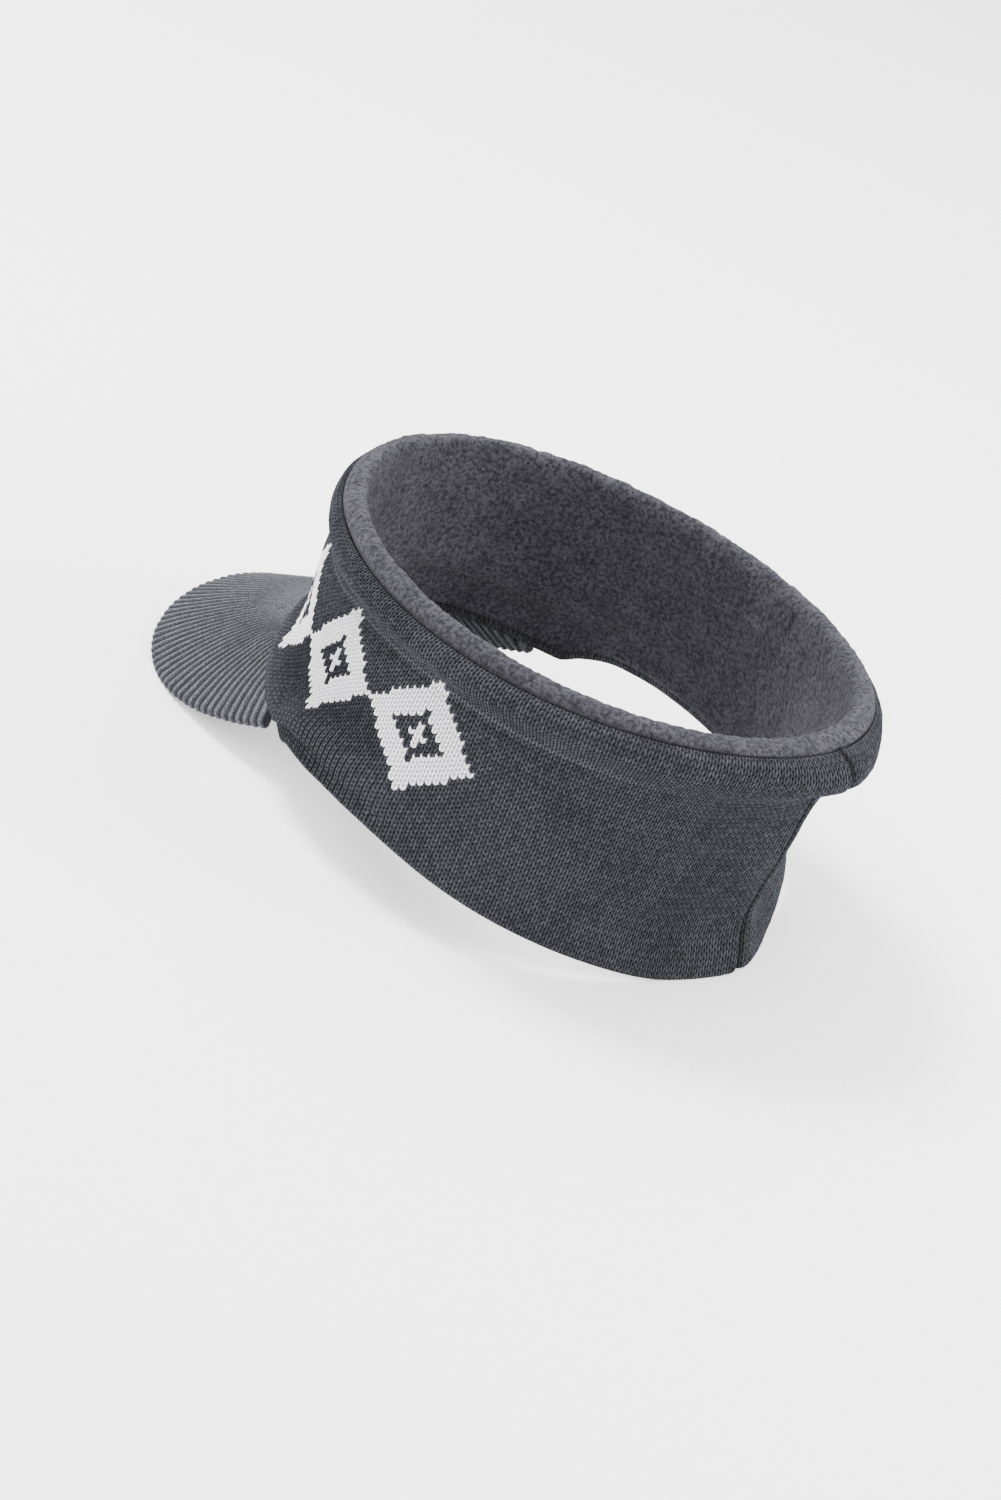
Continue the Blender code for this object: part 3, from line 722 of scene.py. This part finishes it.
# The peak, a curved board covered in rib knit.
peak = {
    "reach": 0.0720, "squareness": 2.6, "rollRadius": 0.097, "droop": math.radians(35),
    "thickness": 0.0042, "seat": 0.0034, "corner": 52.0, "rootEase": 8,
    "topRows": 44, "edgeRows": 11, "underRows": 20, "underStart": 0.96,
    "ribs": 74, "perHalfRib": 4, "endStep": 0.3, "ribHeight": 0.0006, "grooveNarrow": 1.6,
    "ribCentre": 0.004, "bow": 0.55, "rootShare": 0.75,    # where the ribs fan from, and how
    "smoothReach": 0.040, "smoothShare": 0.6, "rootSmooth": 0.12,
    "heldShare": 0.10, "heldUp": 0.04,                     # held to the band along its root
    "fuzz": ((0.0030, 4.4, 0.00010), (0.012, 9.1, 0.00018)),
    "course": 0.0017, "plainWale": 0.0019, "walesPerRib": 2.0, "slant": 0.9,
    "yarn": (0.038, 0.040, 0.046), "pale": (0.115, 0.120, 0.136), "pitShadeColour": (0.003, 0.003, 0.004),
    "stitchTone": 0.4, "ridgeLightShadeTone": 0.35, "pitShadeShare": 0.6,
    "heatherTone": (-0.2, 0.5, 0.3, 0.7), "grooveShadeTone": (0.75, 0.0, -0.9, -0.1),
    "depth": 0.00040, "heatherDepth": 0.00010, "roughness": 0.9, "sheen": 0.05,
}


def rootPoint(angle):
    height = seamHeight(angle) - hemHeight(angle)
    return outerFace(angle, peak["seat"] / height, -band["clearance"])


def peakAxes():
    forward = np.array([0.0, -math.cos(peak["droop"]), -math.sin(peak["droop"])])
    normal = np.array([0.0, -math.sin(peak["droop"]), math.cos(peak["droop"])])
    return rootPoint(np.array(0.0)), forward, normal


def onSheet(roundWay, forwardWay):
    origin, forward, normal = peakAxes()
    radius = peak["rollRadius"]
    turn = (roundWay / radius)[..., None]
    side = np.array([1.0, 0.0, 0.0])
    point = (origin + side * radius * np.sin(turn) - normal * radius * (1 - np.cos(turn))
             + forward * forwardWay[..., None])
    return point, side * np.sin(turn) + normal * np.cos(turn)


def toSheet(point):
    # how far round and forward a point is on the peak's curved sheet, and how far above it
    radius = peak["rollRadius"]
    turn = np.arcsin(np.clip(point[..., 0] / radius, -1, 1))
    drop = radius * (1 - np.cos(turn))
    ahead = (point - peakAxes()[0])[..., 1]
    reach = (drop * math.sin(peak["droop"]) - ahead) / math.cos(peak["droop"])
    flat = onSheet(radius * turn, reach)[0]
    return radius * turn, reach, point[..., 2] - flat[..., 2]


def lastRootAngle():
    # half the peak's thickness short of its corner
    wanted = toSheet(rootPoint(np.array(peak["corner"])))[0] - peak["thickness"] / 2
    low, high = peak["corner"] / 2, peak["corner"]
    for halving in range(20):
        middle = (low + high) / 2
        if toSheet(rootPoint(np.array(middle)))[0] < wanted:
            low = middle
        else:
            high = middle
    return (low + high) / 2


def peakOutline(inset, shares, lastAngle):
    half, corner = toSheet(rootPoint(np.array(lastAngle)))[:2]
    reach = peak["reach"] - inset - corner
    power = 2 / peak["squareness"]
    fine = np.linspace(-math.pi / 2, math.pi / 2, 2001)
    across = half * np.sign(np.sin(fine)) * np.abs(np.sin(fine)) ** power
    along = corner + reach * np.abs(np.cos(fine)) ** power
    walked = np.concatenate([[0], np.cumsum(np.hypot(np.diff(across), np.diff(along)))])
    stops = walked[-1] * (shares + 1) / 2
    return np.stack([np.interp(stops, walked, across), np.interp(stops, walked, along)], axis=-1)


def makePeak():
    half = peak["thickness"] / 2
    ribs, ends, fineness = peak["ribs"], peak["endStep"], peak["perHalfRib"]
    steps = np.arange(2 * ribs * fineness + 1) / fineness
    steps = np.concatenate([[ends], steps[(steps > ends) & (steps < 2 * ribs - ends)],
                            [2 * ribs - ends]])
    shares = steps / ribs - 1
    size = np.abs(shares)
    lastAngle = lastRootAngle()
    angles = np.sign(shares) * lastAngle * (0.5 * size + 0.5 * size ** peak["rootEase"])
    start = rootPoint(angles)
    climb = faceDirections(angles, np.full(angles.shape, peak["heldUp"]))[1]

    # each rib is a curve from the root to the edge, and its end points away from one centre
    roundWay, forwardWay, lift = toSheet(start)
    root = np.stack([roundWay, forwardWay], axis=-1)
    edge = peakOutline(half, shares, lastAngle)
    centre = np.array([0.0, -peak["ribCentre"]])
    spoke = (edge - centre) / np.linalg.norm(edge - centre, axis=-1, keepdims=True)
    length = np.linalg.norm(edge - root, axis=-1, keepdims=True)
    turnIn = edge - spoke * length * peak["bow"]
    turnOut = root * peak["rootShare"] + edge * (1 - peak["rootShare"])
    # broad ridges and narrow grooves
    wave = 1.0 - 2.0 * np.abs(np.cos(steps * math.pi / 2)) ** peak["grooveNarrow"]
    rib = peak["ribHeight"] / 2 * wave

    def row(t, sign, rise, out=0.0):
        flat = ((1 - t) ** 3 * root + 3 * (1 - t) ** 2 * t * turnOut
                + 3 * (1 - t) * t**2 * turnIn + t**3 * edge)
        away = np.linalg.norm(flat - centre, axis=-1)
        smooth = peak["smoothReach"] * peak["smoothShare"]
        mask = np.clip((away - smooth) / smooth, 0.0, 1.0) * min(t / peak["rootSmooth"], 1.0)
        push = out + (rib * mask if out else 0.0)
        flat = flat + spoke * np.reshape(push, (-1, 1))
        point, up = onSheet(flat[:, 0], flat[:, 1])
        point[:, 2] += lift * (1 - t) ** 2
        point = point + up * (rise + sign * rib * mask)[:, None]
        hold = max(1 - t / peak["heldShare"], 0.0)
        point = point * (1 - hold) + (start + climb * rise) * hold
        return point, flat, mask

    topRows = [row(t, 1, half) for t in np.linspace(0.0, 1.0, peak["topRows"])[:-1]]
    edgeRows = [row(1.0, math.sin(turn), half * math.sin(turn), half * math.cos(turn))
                for turn in np.radians(np.linspace(90, -90, peak["edgeRows"]))]
    underRows = [row(t, -1, -half)
                 for t in np.linspace(peak["underStart"], 0.0, peak["underRows"])]
    points, flats, masks = (np.stack(rowsOf, axis=1)
                            for rowsOf in zip(*topRows, *edgeRows, *underRows))
    fuzz = lumpy(points, peak["fuzz"]) * np.minimum(masks + 0.3, 1)
    points = points + gridNormals(points, False) * fuzz[..., None]

    # the rib stitches are counted from the middle of the edge, and the plain ones on the sheet
    columns, rows = points.shape[:2]
    waleAt = (steps / 2 * peak["walesPerRib"])[:, None]
    waleAt = np.broadcast_to(waleAt, (columns, rows + 1))
    walk = np.linalg.norm(np.diff(points, axis=1), axis=-1)
    gone = np.concatenate([np.zeros((columns, 1)), np.cumsum(walk, axis=1)], axis=1)
    middle = len(topRows) + len(edgeRows) // 2
    courseAt = (gone[:, middle][:, None] - gone) / peak["course"]
    courseAt = np.concatenate([courseAt, courseAt[:, -1:] - 1], axis=1)
    flats = np.concatenate([flats, flats[:, :1]], axis=1)
    plainAt = (flats[..., 0] / peak["plainWale"], flats[..., 1] / peak["course"])
    ribLightShade = np.broadcast_to(wave[:, None], masks.shape) * masks
    piece = layGrid("ribbed_peak", setDown(points), False,
                    {"ribStitch": (waleAt, courseAt), "plainStitch": plainAt},
                    {"ribbed": masks, "ribLightShade": ribLightShade})
    piece.data.materials.append(peakMaterial())
    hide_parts("peak")
    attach(piece, "root")


def peakMaterial():
    made, tree, shader = clothMaterial("slateRibKnit", peak["roughness"], peak["sheen"])
    ribbed = ramp(tree, attribute(tree, "ribbed"), 0.0, 1.0, 0.25, 0.75)
    plain = maths(tree, "SUBTRACT", 1.0, ribbed)
    fields = []
    for uvName, share in (("plainStitch", plain), ("ribStitch", ribbed)):
        wale, course = uvPair(tree, uvName)
        field = placeGroup(tree, stitches, Wale=wale, Course=course, Slant=peak["slant"])
        fields.append((field, share))

    def either(name):
        plainPart, ribPart = (maths(tree, "MULTIPLY", field.outputs[name], share)
                              for field, share in fields)
        return maths(tree, "ADD", plainPart, ribPart)

    heather = speckle(tree, *cloth["heather"])
    tone = maths(tree, "MULTIPLY", either("Tone"), peak["stitchTone"])
    tone = maths(tree, "ADD", tone, ramp(tree, heather, *peak["heatherTone"]))
    # painted light on the ribs' ridges and painted shade in their grooves
    lightAndShade = maths(tree, "MULTIPLY", attribute(tree, "ribLightShade"), peak["ridgeLightShadeTone"])
    tone = maths(tree, "ADD", tone, lightAndShade, clamp=True)
    yarn = blendColours(tree, tone, peak["yarn"], peak["pale"])
    # painted shade in the stitch pits and the rib grooves
    pitShading = maths(tree, "MULTIPLY", either("PitShade"), peak["pitShadeShare"])
    groove = ramp(tree, attribute(tree, "ribLightShade"), *peak["grooveShadeTone"])
    colour = blendColours(tree, maths(tree, "MAXIMUM", pitShading, groove), yarn, peak["pitShadeColour"])
    tree.links.new(colour, shader.inputs["Base Color"])
    addBump(tree, shader, [(either("Height"), peak["depth"]), (heather, peak["heatherDepth"])])
    return made


makePeak()
print("peak made")

# Floor, light and camera. The camera stands where the photo's fitted camera stood.
studio = {
    "floor": (0.95, 0.95, 0.95), "floorRoughness": 0.9, "floorSize": 9,
    "sky": (1.0, 1.0, 1.0), "skyStrength": 3.0,
    # place, aim, size and power
    "lights": {"keyLight": ((0.05, -0.75, 1.30), (0.02, -0.05, 0.05), 0.45, 40.0),
               "rimLight": ((-0.55, 0.95, 0.70), (0.0, 0.0, 0.05), 0.5, 18.0)},
    "camera": (0.7623, 0.5317, 0.5186), "backwards": (0.72414, 0.50011, 0.47489),
    "roll": 16.76, "lens": 70.0, "sensor": 36.0,
}


def makeFloor():
    grid = bmesh.new()
    bmesh.ops.create_grid(grid, x_segments=1, y_segments=1, size=studio["floorSize"])
    mesh = bpy.data.meshes.new("studioFloor")
    grid.to_mesh(mesh)
    grid.free()
    floor = bpy.data.objects.new("studioFloor", mesh)
    bpy.context.scene.collection.objects.link(floor)
    made = bpy.data.materials.new("palePaper")
    made.use_nodes = True
    shader = made.node_tree.nodes["Principled BSDF"]
    shader.inputs["Base Color"].default_value = (*studio["floor"], 1.0)
    shader.inputs["Roughness"].default_value = studio["floorRoughness"]
    mesh.materials.append(made)


def softBox(name, place, aim, size, power):
    light = bpy.data.lights.new(name, "AREA")
    light.shape = "DISK"
    light.size = size
    light.energy = power
    holder = bpy.data.objects.new(name, light)
    bpy.context.scene.collection.objects.link(holder)
    holder.location = place
    holder.rotation_euler = (Vector(place) - Vector(aim)).to_track_quat("Z", "Y").to_euler()


def makeCamera():
    lens = bpy.data.cameras.new("photoCamera")
    lens.lens = studio["lens"]
    lens.sensor_fit = "AUTO"
    lens.sensor_width = studio["sensor"]
    camera = bpy.data.objects.new("photoCamera", lens)
    bpy.context.scene.collection.objects.link(camera)
    facing = Vector(studio["backwards"]).to_track_quat("Z", "Y").to_matrix()
    rolled = facing @ Matrix.Rotation(math.radians(studio["roll"]), 3, "Z")
    camera.location = studio["camera"]
    camera.rotation_euler = rolled.to_euler()
    bpy.context.scene.camera = camera


def makeStudio():
    makeFloor()
    world = bpy.data.worlds.new("paleStudio")
    world.use_nodes = True
    sky = world.node_tree.nodes["Background"]
    sky.inputs["Color"].default_value = (*studio["sky"], 1.0)
    sky.inputs["Strength"].default_value = studio["skyStrength"]
    bpy.context.scene.world = world
    for name, values in studio["lights"].items():
        softBox(name, *values)
    makeCamera()


makeStudio()
print("studio made")
